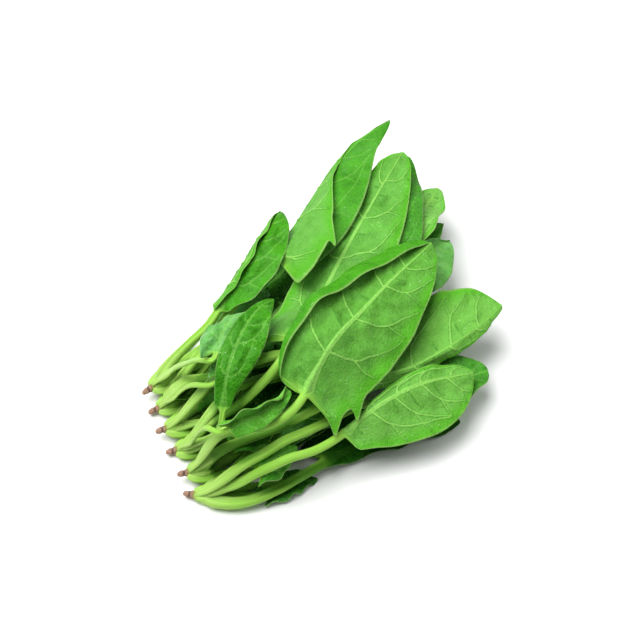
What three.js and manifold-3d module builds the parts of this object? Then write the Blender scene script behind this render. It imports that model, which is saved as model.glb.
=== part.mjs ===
// A bunch of spinach lying on a table: six young plants side by side, pulled whole, each with the stub of
// its root, a crown, and a rosette of leaves on long juicy stalks. The crowns lie in a row at -X and the
// leaves fan out to +X. Every plant is one solid, its crown, stalks, ribs and blades grown together, and
// each pink-brown root stub is another. A leaf is one loft from its crown to its tip: a grooved stalk that
// flattens into a blade with a rib under it. The leaves are laid in the order of the list, and each one
// lies on what is already there. Units are millimetres and degrees. +Z is up, the table is z = 0, and the
// origin is under the middle.

import * as THREE from "three";
import { mergeVertices } from "three/addons/utils/BufferGeometryUtils.js";
import Module from "manifold-3d";

const wasm = await Module();
wasm.setup();

// ---- Driving dimensions ----

const MIDDLE = { x: -4, y: -21.4 }; // of the bunch, in the frame that its parts are placed in
const BLADE_THICK = 0.8;
const STALK_RADIUS = 3.1; // where a stalk leaves the crown
const FOOT_RADIUS = 2.4; // where it meets the blade
const TIP_RADIUS = 0.5; // the rib at the tip of the blade
const CROWN_RADIUS = 5.1;
const CROWN_LENGTH = 13;
const CROWN_SPREAD = 5; // how far from the axis of its crown a stalk starts
const ROOT_RADIUS = 2.4;
const ROOT_LENGTH = 6;
const ROOT_DROOP = 1;
const JOINT_GAP = 0.3; // clear space between a crown and its root stub
const LAY_GAP = 0.6; // clear space between a leaf and what it lies on
const TABLE_BITE = 0.2; // how far the lowest ribs are pressed flat by the table

const rad = THREE.MathUtils.degToRad;
const lerp = THREE.MathUtils.lerp;
const clamp = THREE.MathUtils.clamp;
const smooth = (t) => THREE.MathUtils.smoothstep(t, 0, 1);

// Repeatable random numbers.
let drawn = 7;
function draw(low, high) {
  drawn = (drawn * 1664525 + 1013904223) % 4294967296;
  return low + ((high - low) * drawn) / 4294967296;
}

// ---- The plants: where the root end of each crown lies, the way it points, and the fan its leaves make ----

const PLANTS = [
  { x: -98, y: 43, z: 9, heading: -12, fan: 2 },
  { x: -103, y: 32, z: 4.2, heading: -24, fan: 3 },
  { x: -110, y: 17, z: 8, heading: -32, fan: 2 },
  { x: -114, y: 4, z: 4.2, heading: -36, fan: -2 },
  { x: -120, y: -13, z: 8, heading: -38, fan: -6 },
  { x: -126, y: -24, z: 4.2, heading: -58, fan: -10 },
];

// ---- The leaves ----
// plant: which crown it grows from; foot and tip: where the blade starts and ends; bow: the sideways bend
// of the blade; arch: how it humps up and comes down again; hook: a bend of the tip; swing: how far aside
// the stalk leaves its crown; stout: how thick the stalk is; slim: how soon the rib thins along the blade,
// less is sooner; turned: true when the pale underside faces up; wave: how deep the waves of the margin
// are, with their number and where they start; coarse: true for a leaf that is mostly hidden; stations:
// where its sections are drawn, when it has teeth.

const LEAF = {
  bow: 0, arch: 8, hook: 0, swing: 0, stout: 1, slim: 0.8, turned: false, wave: 1.5, waves: 3, phase: 0,
};

// One half of a blade. wide: rib to margin, at the place full along the blade; blunt: less is blunter;
// fold: the angle at which it rises from the rib; curl: a further even bend; hem: a sharp bend near the
// margin, each at the foot and at the tip; lobe: how far its base sweeps back along the stalk; sweep: how
// far the margin near the tip runs ahead; hemAt: where across the half the hem begins, at the foot and at
// the tip; teeth: pointed lobes, each with its place, how far it stands out, its length along the margin
// and how far it points back.

const HALF = {
  wide: 20, full: 0.36, blunt: 0.8, fold: [8, 8], curl: [0, 0], hem: [0, 0], hemAt: [0.62, 0.62], lobe: 8,
  sweep: 0, teeth: [],
};

const leaves = [];
function leaf(shape) {
  const left = { ...HALF, ...shape.left };
  const right = { ...HALF, ...shape.right };
  leaves.push({ ...LEAF, ...shape, left, right });
}

// Two leaves of the last plant lie lowest of all: a small one, and a long dark one on a thick stalk.
leaf({
  plant: 6, foot: [-96, -54, 2], tip: [-68, -67, 1], bow: 12, stout: 0.8, wave: 2,
  left: { wide: 10, fold: [5, 10] }, right: { wide: 8, fold: [10, 20] },
});
leaf({
  plant: 6, foot: [-60, -64, 2], tip: [19, -99, 0],
  bow: 16, arch: 6, swing: -50, wave: 2, stout: 1.5, phase: 120,
  left: { wide: 22, fold: [10, 16], lobe: 14 },
  right: { wide: 11, full: 0.6, blunt: 0.5, fold: [8, 14], lobe: 6 },
});

// The bed: leaves low in the bunch, two to a plant, fanned to both sides of the way the plant leans.
for (const row of [0, 1]) {
  for (let index = 0; index < PLANTS.length; index++) {
    const plant = PLANTS[index];
    const turn = rad(plant.fan + draw(-9, 9) + (row - 1.5) * 5);
    const stalk = draw(48, 66);
    const blade = draw(72, 92);
    const foot = [plant.x + stalk * Math.cos(turn), plant.y + stalk * Math.sin(turn), 1 + row * 4];
    const sway = turn + rad(draw(-12, 12));
    const tip = [foot[0] + blade * Math.cos(sway), foot[1] + blade * Math.sin(sway), 1 + row * 4];
    leaf({
      plant: index + 1,
      foot,
      tip,
      bow: draw(-10, 10),
      arch: draw(2, 10),
      turned: draw(0, 1) > 0.6,
      coarse: true,
      swing: row ? 14 : -20,
      wave: draw(1, 2.5),
      phase: draw(0, 360),
      left: { wide: draw(15, 21), fold: [draw(-6, 22), draw(0, 25)] },
      right: { wide: draw(15, 21), fold: [draw(-6, 22), draw(0, 25)] },
    });
  }
}

// Small young leaves on thin stalks fill the space between the crowns and the big blades.
leaf({
  plant: 3, foot: [-91, 20, 6], tip: [-67, 5, 8], bow: 4, arch: 16, stout: 0.55, wave: 2.5, phase: 180,
  left: { wide: 8, blunt: 0.5, fold: [50, 40], curl: [60, 40] },
  right: { wide: 9, blunt: 0.5, fold: [-20, 10], curl: [-20, 20] },
});
leaf({
  plant: 2, foot: [-58, 2, 16], tip: [-31, 6, 20], coarse: true, swing: 16, stout: 1.1,
  left: { wide: 8 }, right: { wide: 8 },
});
leaf({
  plant: 3, foot: [-89, -3, 12], tip: [-71, -10, 14], coarse: true, swing: 14, stout: 0.75,
  left: { wide: 8 }, right: { wide: 8 },
});
leaf({
  plant: 4, foot: [-92, -17, 12], tip: [-68, -15, 14], coarse: true, swing: 4, stout: 0.9,
  left: { wide: 8 }, right: { wide: 8 },
});
leaf({
  plant: 5, foot: [-93, -29, 12], tip: [-71, -39, 14], coarse: true, swing: 12, stout: 0.9,
  left: { wide: 8 }, right: { wide: 8 },
});
leaf({
  plant: 6, foot: [-96, -50, 12], tip: [-72, -55, 14], coarse: true, swing: 10, stout: 0.75,
  left: { wide: 8 }, right: { wide: 8 },
});
leaf({
  plant: 2, foot: [-38, 27, 22], tip: [-10, 32, 28], arch: 14, stout: 0.6, wave: 2, phase: 20,
  left: { wide: 8, fold: [16, 20] }, right: { wide: 9, fold: [0, 10] },
});

// The leaves that show, from the lowest to the highest.
leaf({
  plant: 6, foot: [-4, -70, 14], tip: [47, -94, 20], arch: 8, wave: 1,
  left: { wide: 20, blunt: 0.5, fold: [6, 10], curl: [0, 10] },
  right: { wide: 18, blunt: 0.5, fold: [6, 10], curl: [0, 10] },
});
leaf({
  plant: 4, foot: [49, -12, 20], tip: [102, -7, 28], bow: 8, arch: 10, wave: 1.5, phase: 140,
  left: { wide: 14, fold: [10, 20] }, right: { wide: 14, fold: [10, 20] },
});
leaf({
  plant: 4, foot: [33, -22, 26], tip: [92, -21, 34], bow: 12, arch: 10, wave: 1.5, phase: 40,
  left: { wide: 16, fold: [30, 50], curl: [20, 40] },
  right: { wide: 20, full: 0.6, blunt: 0.5, fold: [-12, -20] },
});
leaf({
  plant: 3, foot: [47, -14, 24], tip: [118, 13, 30], arch: 10, turned: true, wave: 0.8, phase: 200,
  left: { wide: 14, full: 0.55, blunt: 0.45, fold: [0, -6] },
  right: { wide: 14, full: 0.6, blunt: 0.4, fold: [-4, -10], hem: [0, 120] },
});
leaf({
  plant: 3, foot: [22, -21, 36], tip: [115, 37, 44], arch: 12, wave: 1, phase: 70,
  left: { wide: 20, blunt: 0.6, fold: [0, 0] }, right: { wide: 21, blunt: 0.6, fold: [0, -12] },
});
leaf({
  plant: 5, foot: [-44, -52, 28], tip: [79, -75, 34],
  bow: 0, hook: -14, arch: 6, turned: true, wave: 1, slim: 0.35,
  left: { wide: 32, full: 0.6, blunt: 0.3, fold: [8, 14], curl: [0, -10], sweep: 14 },
  right: { wide: 9, blunt: 0.5, fold: [-70, -60], lobe: 0 },
});
leaf({
  plant: 6, foot: [-50, -68, 26], tip: [35, -92, 28], bow: 12, arch: 12, turned: true, wave: 0.8,
  left: { wide: 9, full: 0.75, blunt: 0.5, fold: [4, 0], lobe: 2 },
  right: { wide: 27, full: 0.55, blunt: 0.5, fold: [-12, -12], curl: [0, -16], lobe: 2, sweep: 6 },
});
leaf({
  plant: 4, foot: [-42, -20, 40], tip: [108, 35, 56], bow: 2, arch: 10, turned: true, wave: 1, phase: 150,
  left: {
    wide: 20, full: 0.3, blunt: 0.4, fold: [4, -6], curl: [-14, -8], lobe: 12,
    teeth: [{ at: 0.1, out: 5, long: 0.05, back: 5 }],
  },
  right: { wide: 29, full: 0.4, blunt: 0.55, fold: [0, 4], curl: [-8, -8] },
});
leaf({
  plant: 2, foot: [-1, 37, 40], tip: [122, 59, 54],
  bow: -4, arch: 2, swing: 8, wave: 1, waves: 3, hook: 30, phase: 60,
  stations: [0.01, 0.05, 0.09, 0.13, 0.17, 0.21, 0.26, 0.36, 0.5, 0.64, 0.77, 0.88, 0.95, 1],
  left: {
    wide: 34, full: 0.1, blunt: 2.2, fold: [170, 160], lobe: 6,
    teeth: [{ at: 0.05, out: 2, long: 0.035, back: 12 }, { at: 0.19, out: 8, long: 0.03, back: 9 }],
  },
  right: { wide: 30, full: 0.3, blunt: 0.7, fold: [-14, 0], lobe: 10 },
});
leaf({
  plant: 1, foot: [-50, 34, 34], tip: [23, 55, 46],
  bow: 0, arch: 4, swing: 34, wave: 1.2, waves: 4, phase: 10,
  left: { wide: 8, blunt: 0.5, fold: [150, 150], lobe: 4 },
  right: { wide: 19, full: 0.52, blunt: 0.6, fold: [4, -6], curl: [-10, -20], hem: [40, 0], lobe: 0 },
});
leaf({
  plant: 2, foot: [-81, -4, 16], tip: [-56, 2, 22], arch: 18, stout: 0.6, wave: 2, phase: 130,
  left: { wide: 8, blunt: 0.5, fold: [10, 14] },
  right: { wide: 9, blunt: 0.5, fold: [0, -4], curl: [-10, -10] },
});
leaf({
  plant: 1, foot: [-78, 2, 22], tip: [-38, 18, 32],
  bow: 12, arch: 12, swing: 24, stout: 0.7, wave: 2.5, phase: 300,
  left: { wide: 11, blunt: 0.5, fold: [8, 14], curl: [10, 10] },
  right: { wide: 13, blunt: 0.5, fold: [0, -4], curl: [-10, 0] },
});
leaf({
  plant: 4, foot: [-95, -20, 22], tip: [-28, 8, 36], bow: 14, arch: 12, stout: 0.7, wave: 0.8, phase: 90,
  left: { wide: 7, fold: [10, 12], lobe: 0 },
  right: { wide: 14, full: 0.5, blunt: 0.9, fold: [-6, 6], curl: [-20, 0], lobe: 0 },
});
leaf({
  plant: 5, foot: [-58, -46, 40], tip: [69, -25, 58],
  bow: 6, arch: 12, turned: true, wave: 1.2, waves: 4, phase: 30,
  stations: [0.01, 0.035, 0.06, 0.09, 0.12, 0.16, 0.2, 0.26, 0.36, 0.5, 0.64, 0.76, 0.87, 0.95, 1],
  left: { wide: 36, full: 0.45, blunt: 0.45, fold: [-2, 4], hem: [150, 176], hemAt: [0.66, 0.4], lobe: 8 },
  right: {
    wide: 30, full: 0.42, blunt: 0.5, fold: [-10, -8], curl: [-14, -10], lobe: 8,
    teeth: [{ at: 0.06, out: 4, long: 0.016, back: 8 }, { at: 0.16, out: 5, long: 0.022, back: 9 }],
  },
});
leaf({
  plant: 4, foot: [-102, -33, 24], tip: [-62, -40, 32],
  bow: -14, arch: 16, stout: 0.6, wave: 1.5, phase: 250,
  left: { wide: 11, blunt: 0.5, fold: [60, 90], curl: [60, 50] },
  right: { wide: 7, blunt: 0.5, fold: [-10, -10], lobe: 0 },
});

// ---- The line of a leaf ----

const UP = new THREE.Vector3(0, 0, 1);
const pointOf = (place) => new THREE.Vector3(place[0], place[1], place[2]);
function direction(heading, climb) {
  const level = Math.cos(climb);
  return new THREE.Vector3(level * Math.cos(heading), level * Math.sin(heading), Math.sin(climb));
}

// The stalk and the midrib of a leaf: two smooth curves that meet at the foot of the blade.
function lineOf(leaf) {
  const plant = PLANTS[leaf.plant - 1];
  const foot = pointOf(leaf.foot);
  const tip = pointOf(leaf.tip);
  const chord = tip.clone().sub(foot);
  const heading = Math.atan2(chord.y, chord.x);
  const climb = Math.atan2(chord.z, Math.hypot(chord.x, chord.y));
  const footWay = direction(heading + rad(leaf.bow), climb + rad(leaf.arch));
  const tipWay = direction(heading - rad(leaf.bow + leaf.hook), climb - rad(leaf.arch));
  const axis = direction(rad(plant.heading), 0);
  const leave = direction(rad(plant.heading + leaf.swing), 0);
  const crown = new THREE.Vector3(plant.x, plant.y, plant.z);
  const aim = foot.clone().sub(crown).normalize();
  const side = aim.clone().addScaledVector(axis, -aim.dot(axis));
  const start = crown.addScaledVector(axis, CROWN_LENGTH * 0.35).addScaledVector(side, CROWN_SPREAD);
  const reach = start.distanceTo(foot) * 0.38;
  const out = leave.lerp(aim, 0.3).normalize();
  const stalk = new THREE.CubicBezierCurve3(
    start,
    start.clone().addScaledVector(out, reach),
    foot.clone().addScaledVector(footWay, -reach),
    foot,
  );
  const length = chord.length() * 0.36;
  const blade = new THREE.CubicBezierCurve3(
    foot,
    foot.clone().addScaledVector(footWay, length),
    tip.clone().addScaledVector(tipWay, -length),
    tip,
  );
  return { stalk, blade };
}

// ---- Across a leaf ----

// How much of a tooth there is at q of the way from the foot of the blade to its tip.
const toothAt = (q, tooth) => Math.exp(-(((q - tooth.at) / tooth.long) ** 2));

// How wide a half is there.
function spread(half, q) {
  const body = Math.sin(Math.PI * q ** (Math.log(0.5) / Math.log(half.full))) ** half.blunt;
  return half.teeth.reduce((width, tooth) => width + tooth.out * toothAt(q, tooth), half.wide * body);
}

// A place on a half of the blade: out from the rib, up from it, and the way that the sheet faces there.
const STEPS = 12;
function across(half, q, width, share) {
  const fold = lerp(half.fold[0], half.fold[1], q);
  const curl = lerp(half.curl[0], half.curl[1], q);
  const hem = lerp(half.hem[0], half.hem[1], q);
  const hemAt = lerp(half.hemAt[0], half.hemAt[1], q);
  const lean = (s) => rad(fold + curl * s + hem * smooth((s - hemAt) / 0.3));
  let out = 0;
  let up = 0;
  for (let step = 0; step < STEPS; step++) {
    const angle = lean((share * (step + 0.5)) / STEPS);
    out += (Math.cos(angle) * width * share) / STEPS;
    up += (Math.sin(angle) * width * share) / STEPS;
  }
  return { out, up, angle: lean(share) };
}

// The shares of a half, rib to margin, at which the blade is drawn. A half with a hem needs more of them.
function sharesOf(leaf, half) {
  if (leaf.coarse) return [1];
  return half.hem[0] || half.hem[1] ? [0.36, 0.66, 0.82, 1] : [0.5, 1];
}

// The lines of one half of the blade, from the rib to the margin: where each runs, and which way the sheet
// faces.
function linesOf(leaf, half, hand, q, radius) {
  return [0, ...sharesOf(leaf, half)].map((share) => {
    const { out, up, angle } = across(half, q, spread(half, q), share);
    const ripple = leaf.wave * share ** 2 * Math.sin(rad(leaf.phase + hand * 50 + q * 360 * leaf.waves));
    const lobe = half.lobe * Math.max(0, 1 - q / 0.42) ** 2;
    const ahead = half.sweep * Math.sin(Math.PI * q) * q;
    const backs = half.teeth.reduce((sum, tooth) => sum + tooth.back * toothAt(q, tooth), 0);
    return {
      out: hand * (out + radius * 1.3 - ripple * Math.sin(angle)),
      rise: up + ripple * Math.cos(angle),
      back: share ** 2 * (lobe - ahead) + share ** 3 * backs,
      acrossFace: -hand * Math.sin(angle),
      upFace: Math.cos(angle),
    };
  });
}

// One cross-section: the upper line of points and the lower one, from the left margin to the right margin.
// It is a round grooved stalk when flat is 0, and a thin sheet with a rib under it when flat is 1.
function section(leaf, centre, way, flat, q, radius) {
  const left = UP.clone().cross(way).normalize();
  const up = way.clone().cross(left);
  const grooveFace = leaf.turned ? -1 : 1;
  const leftLines = linesOf(leaf, leaf.left, 1, q, radius).reverse();
  const rib = { out: 0, rise: 0, back: 0, acrossFace: 0, upFace: 1, isRib: true };
  const lines = [...leftLines, rib, ...linesOf(leaf, leaf.right, -1, q, radius)];
  const faces = { 1: [], [-1]: [] };
  lines.forEach((line, index) => {
    const turn = (Math.PI * (index + 0.25)) / (lines.length - 0.5);
    for (const face of [1, -1]) {
      const groove = line.isRib && face === grooveFace ? 0.55 : 1;
      const round = { out: Math.cos(turn) * radius, rise: face * Math.sin(turn) * radius * groove };
      const sheet = {
        out: line.out + (face * line.acrossFace * BLADE_THICK) / 2,
        rise: line.rise + grooveFace * radius * 0.55 + (face * line.upFace * BLADE_THICK) / 2,
      };
      if (line.isRib && face !== grooveFace) sheet.rise = -grooveFace * radius;
      const point = centre.clone().addScaledVector(left, lerp(round.out, sheet.out, flat));
      point.addScaledVector(up, lerp(round.rise, sheet.rise, flat));
      point.addScaledVector(way, -line.back * flat);
      faces[face].push(point);
    }
  });
  return { top: faces[1], base: faces[-1], middle: leftLines.length };
}

// Where along a leaf its sections are drawn.
const STALK_STATIONS = [0, 0.2, 0.4, 0.6, 0.8, 0.93];
const BLADE_STATIONS = [0.01, 0.06, 0.14, 0.25, 0.37, 0.5, 0.63, 0.76, 0.87, 0.95, 1];
const COARSE_STATIONS = [0.01, 0.08, 0.2, 0.36, 0.54, 0.72, 0.88, 1];

function sectionsOf(leaf) {
  const { stalk, blade } = lineOf(leaf);
  const sections = [];
  for (const t of STALK_STATIONS) {
    if (leaf.coarse && t === 0.4) continue;
    const radius = leaf.stout * lerp(STALK_RADIUS, FOOT_RADIUS, t);
    const far = t * stalk.getLength();
    sections.push({ ...section(leaf, stalk.getPoint(t), stalk.getTangent(t), 0, 0, radius), far, free: 0 });
  }
  for (const q of leaf.stations ?? (leaf.coarse ? COARSE_STATIONS : BLADE_STATIONS)) {
    const radius = leaf.stout * lerp(FOOT_RADIUS, TIP_RADIUS, q ** leaf.slim);
    const far = stalk.getLength() + q * blade.getLength();
    const flat = smooth(q / 0.05);
    const place = section(leaf, blade.getPoint(q), blade.getTangent(q), flat, q, radius);
    sections.push({ ...place, far, free: flat });
  }
  return sections;
}

// The closed skin of a leaf. Both faces of the sheet are split the same way, so that they never meet.
function skinOf(sections) {
  const count = sections[0].top.length;
  const ring = 2 * count;
  const vertices = [];
  const triangles = [];
  for (const { top, base } of sections) {
    for (const point of [...top, ...base.slice().reverse()]) vertices.push(point.x, point.y, point.z);
  }
  const { middle } = sections[0];
  for (let row = 0; row + 1 < sections.length; row++) {
    for (let column = 0; column < ring; column++) {
      const next = (column + 1) % ring;
      const a = row * ring + column;
      const b = row * ring + next;
      const c = (row + 1) * ring + next;
      const d = (row + 1) * ring + column;
      const upper = column < count - 1;
      const place = upper ? column : 2 * count - 2 - column;
      const leaning = place < middle;
      if (leaning === upper) triangles.push(a, c, b, a, d, c);
      else triangles.push(a, d, b, b, d, c);
    }
  }
  for (const row of [0, sections.length - 1]) {
    const first = row * ring;
    for (let column = 0; column < count - 1; column++) {
      const a = first + column;
      const b = first + column + 1;
      const c = first + ring - 2 - column;
      const d = first + ring - 1 - column;
      if (row === 0) triangles.push(a, b, c, a, c, d);
      else triangles.push(a, c, b, a, d, c);
    }
  }
  return { vertices, triangles };
}

// ---- Laying the leaves down ----
// The heap is the height of what lies on every small square of the table. A blade that would pass through
// the heap is lifted there, and bends gently on both sides of the place. A stalk is stiff: it runs straight
// from its crown to the first thing that it lies on, and on to the next. Near the crown the stalks of a
// plant are one.

const SQUARE = 1.5;
const CORNER = { x: -165, y: -135 };
const COLUMNS = 220;
const ROWS = 170;
const BEND_OUT = 9; // in squares: how far a lift reaches level, and then fades
const FADE = [5, 4];
const HELD = 6; // the crown holds a stalk this far
const LOOSE = 17; // past this a stalk lies on the stalks of other plants
const APART = 48; // and past this on those of its own plant
const FEELER = 1.2; // how finely a skin is felt along the leaf
const BESIDE = 14; // and between two of its lines, in steps

const emptyTable = () => new Float64Array(COLUMNS * ROWS).fill(-TABLE_BITE - LAY_GAP);
const heap = emptyTable();
const nearCrowns = PLANTS.map(emptyTable);

function squareAt(x, y) {
  const column = clamp(Math.floor((x - CORNER.x) / SQUARE), 0, COLUMNS - 1);
  const row = clamp(Math.floor((y - CORNER.y) / SQUARE), 0, ROWS - 1);
  return row * COLUMNS + column;
}

// The height of a field at any place, evenly between the middles of its squares.
function heightAt(field, x, y) {
  const across = clamp((x - CORNER.x) / SQUARE - 0.5, 0, COLUMNS - 1.001);
  const down = clamp((y - CORNER.y) / SQUARE - 0.5, 0, ROWS - 1.001);
  const square = Math.floor(down) * COLUMNS + Math.floor(across);
  const near = lerp(field[square], field[square + 1], across % 1);
  return lerp(near, lerp(field[square + COLUMNS], field[square + COLUMNS + 1], across % 1), down % 1);
}

// The highest, or the mean, of the squares near each one: taken along the rows and then along the columns.
function near(field, reach, pick) {
  let from = field;
  for (const [step, last] of [[1, COLUMNS], [COLUMNS, ROWS]]) {
    const to = new Float64Array(from.length);
    for (let index = 0; index < from.length; index++) {
      const place = step === 1 ? index % COLUMNS : Math.floor(index / COLUMNS);
      const low = Math.max(-reach, -place);
      const high = Math.min(reach, last - 1 - place);
      let value = pick === "highest" ? -Infinity : 0;
      for (let away = low; away <= high; away++) {
        const other = from[index + away * step];
        value = pick === "highest" ? Math.max(value, other) : value + other;
      }
      to[index] = pick === "highest" ? value : value / (high - low + 1);
    }
    from = to;
  }
  return from;
}

// Feels both faces of a leaf, beyond where the crown holds it.
function feel(sections, visit) {
  for (let row = 0; row + 1 < sections.length; row++) {
    const here = sections[row];
    const there = sections[row + 1];
    if (there.far < LOOSE) continue;
    const steps = Math.ceil((there.far - here.far) / FEELER);
    for (const face of ["top", "base"]) {
      for (let column = 0; column + 1 < here.top.length; column++) {
        const corners = [here, there].flatMap((section) => section[face].slice(column, column + 2));
        for (let a = 0; a <= steps; a++) {
          const t = a / steps;
          for (let b = 0; b <= BESIDE; b++) {
            const s = b / BESIDE;
            const x = lerp(lerp(corners[0].x, corners[1].x, s), lerp(corners[2].x, corners[3].x, s), t);
            const y = lerp(lerp(corners[0].y, corners[1].y, s), lerp(corners[2].y, corners[3].y, s), t);
            const z = lerp(lerp(corners[0].z, corners[1].z, s), lerp(corners[2].z, corners[3].z, s), t);
            visit(squareAt(x, y), z, lerp(here.far, there.far, t));
          }
        }
      }
    }
  }
}

// How far the stalk rises at each of its sections: a string pulled tight over what is under it.
function stalkLifts(sections, need, lift) {
  const spine = sections.map(({ top, base, middle, far }) => {
    const { x, y } = top[middle].clone().lerp(base[middle], 0.5);
    return { x, y, far, lift: heightAt(lift, x, y) };
  });
  const foot = sections.findIndex(({ free }) => free > 0) + 1;
  const probes = [{ far: 0, lift: 0 }, spine[foot]];
  for (let row = 0; row < foot; row++) {
    for (let step = 0; step < STEPS; step++) {
      const share = step / STEPS;
      const far = lerp(spine[row].far, spine[row + 1].far, share);
      const x = lerp(spine[row].x, spine[row + 1].x, share);
      const y = lerp(spine[row].y, spine[row + 1].y, share);
      if (far > HELD) probes.push({ far, lift: heightAt(need, x, y), row, share });
    }
  }
  const taut = (far) => {
    let height = 0;
    for (const before of probes) {
      for (const after of probes) {
        if (before.far > far || after.far < far || after.far === before.far) continue;
        const share = (far - before.far) / (after.far - before.far);
        height = Math.max(height, lerp(before.lift, after.lift, share));
      }
    }
    return height;
  };
  for (let row = 0; row < foot; row++) spine[row].lift = spine[row].far > HELD ? taut(spine[row].far) : 0;
  for (const { lift: least, row, share } of probes) {
    if (row === undefined) continue;
    const short = least - lerp(spine[row].lift, spine[row + 1].lift, share);
    if (short <= 0) continue;
    if (spine[row].far > HELD) spine[row].lift += short;
    spine[row + 1].lift += short;
  }
  return spine;
}

function lay(sections, plant) {
  const low = emptyTable().fill(Infinity);
  feel(sections, (square, z) => {
    low[square] = Math.min(low[square], z);
  });
  const below = heap.slice();
  nearCrowns.forEach((stalks, index) => {
    if (index + 1 === plant) return;
    stalks.forEach((height, square) => {
      below[square] = Math.max(below[square], height);
    });
  });
  const need = near(below, 1, "highest").map((height, square) => Math.max(0, height + LAY_GAP - low[square]));
  let lift = near(need, BEND_OUT, "highest");
  for (const reach of FADE) lift = near(lift, reach, "mean");
  const spine = stalkLifts(sections, near(need, 2, "highest"), lift);
  sections.forEach(({ top, base, free }, row) => {
    const { x, y, lift: whole } = spine[row];
    top.forEach((point, column) => {
      const own = heightAt(lift, (point.x + base[column].x) / 2, (point.y + base[column].y) / 2);
      const rise = whole + free * (own - heightAt(lift, x, y));
      point.z += rise;
      base[column].z += rise;
    });
  });
  feel(sections, (square, z, far) => {
    const under = far < APART ? nearCrowns[plant - 1] : heap;
    under[square] = Math.max(under[square], z);
  });
}

// ---- Solids ----

function solidOf(vertices, triangles) {
  let volume = 0;
  for (let index = 0; index < triangles.length; index += 3) {
    const [a, b, c] = [0, 1, 2].map((corner) => pointOf(vertices.slice(triangles[index + corner] * 3)));
    volume += a.dot(b.cross(c));
  }
  if (volume < 0) triangles.reverse();
  const mesh = new wasm.Mesh({
    numProp: 3,
    vertProperties: new Float32Array(vertices),
    triVerts: new Uint32Array(triangles),
  });
  return new wasm.Manifold(mesh);
}

// A round body along a line of centres, with a radius at each of them.
function spindle(centres, radii, way, sides) {
  const left = UP.clone().cross(way).normalize();
  const up = way.clone().cross(left);
  const vertices = [];
  const triangles = [];
  centres.forEach((centre, row) => {
    for (let side = 0; side < sides; side++) {
      const angle = (side / sides) * 2 * Math.PI;
      const point = centre.clone().addScaledVector(left, radii[row] * Math.cos(angle));
      point.addScaledVector(up, radii[row] * Math.sin(angle));
      vertices.push(point.x, point.y, point.z);
    }
  });
  for (let row = 0; row + 1 < centres.length; row++) {
    for (let side = 0; side < sides; side++) {
      const next = (side + 1) % sides;
      const a = row * sides + side;
      const b = row * sides + next;
      triangles.push(a, b, a + sides, b, b + sides, a + sides);
    }
  }
  const last = (centres.length - 1) * sides;
  for (let side = 1; side + 1 < sides; side++) {
    triangles.push(0, side + 1, side, last, last + side, last + side + 1);
  }
  return solidOf(vertices, triangles);
}

// The part of a solid above the table. A loose scrap is dropped, and a sealed hollow is filled.
function aboveTable(solid) {
  const under = new THREE.BoxGeometry(400, 400, 100);
  under.translate(0, 0, -50);
  under.deleteAttribute("normal");
  under.deleteAttribute("uv");
  const merged = mergeVertices(under);
  const table = solidOf([...merged.attributes.position.array], [...merged.index.array]);
  const pieces = solid.subtract(table).decompose();
  return pieces.reduce((biggest, piece) => (piece.volume() > biggest.volume() ? piece : biggest));
}

function meshOf(name, solid, material) {
  const { vertProperties, triVerts, numProp } = solid.getMesh();
  const geometry = new THREE.BufferGeometry();
  const places = [];
  for (let index = 0; index < vertProperties.length; index += numProp) {
    const [x, y, z] = vertProperties.slice(index, index + 3);
    places.push(x - MIDDLE.x, y - MIDDLE.y, z);
  }
  geometry.setAttribute("position", new THREE.Float32BufferAttribute(places, 3));
  geometry.setIndex([...triVerts]);
  const welded = mergeVertices(geometry, 1e-3);
  const mesh = new THREE.Mesh(welded, material);
  mesh.name = name;
  return mesh;
}

// ---- The bunch ----

const laid = leaves.map((shape) => {
  const sections = sectionsOf(shape);
  lay(sections, shape.plant);
  return { plant: shape.plant, sections };
});

const bunch = new THREE.Group();
bunch.name = "spinach_bunch";
PLANTS.forEach((plant, index) => {
  const number = index + 1;
  const axis = direction(rad(plant.heading), 0);
  const origin = new THREE.Vector3(plant.x, plant.y, plant.z);
  const along = (distance) => origin.clone().addScaledVector(axis, distance);

  const crownRadii = [ROOT_RADIUS, ...[0.75, 0.96, 1, 0.8].map((share) => share * CROWN_RADIUS)];
  const crownCentres = [0, 0.25, 0.5, 0.75, 1].map((share) => along(share * CROWN_LENGTH));
  let solid = spindle(crownCentres, crownRadii, axis, 12);
  for (const { plant: owner, sections } of laid) {
    if (owner !== number) continue;
    const { vertices, triangles } = skinOf(sections);
    solid = solid.add(solidOf(vertices, triangles));
  }
  const green = new THREE.MeshStandardMaterial({ color: 0x4f9a2b, roughness: 0.55, metalness: 0 });
  bunch.add(meshOf(`plant_${number}`, aboveTable(solid), green));

  const stub = [along(-JOINT_GAP), along(-ROOT_LENGTH * 0.45), along(-ROOT_LENGTH)];
  stub[1].z -= ROOT_DROOP * 0.2;
  stub[2].z -= ROOT_DROOP;
  const root = spindle(stub, [ROOT_RADIUS * 0.92, ROOT_RADIUS * 0.7, ROOT_RADIUS * 0.4], axis, 10);
  const brown = new THREE.MeshStandardMaterial({ color: 0xa9826a, roughness: 0.85, metalness: 0 });
  bunch.add(meshOf(`root_${number}`, aboveTable(root), brown));
});

export default bunch;
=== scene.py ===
# A bunch of spinach lying on a plain pale table: six young plants side by side, with their crowns in a row
# on the left and their leaves fanned to the right. Lengths in this file are millimetres, in the frame that
# the bunch is laid out in, until a mesh is made of them.
import math

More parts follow.
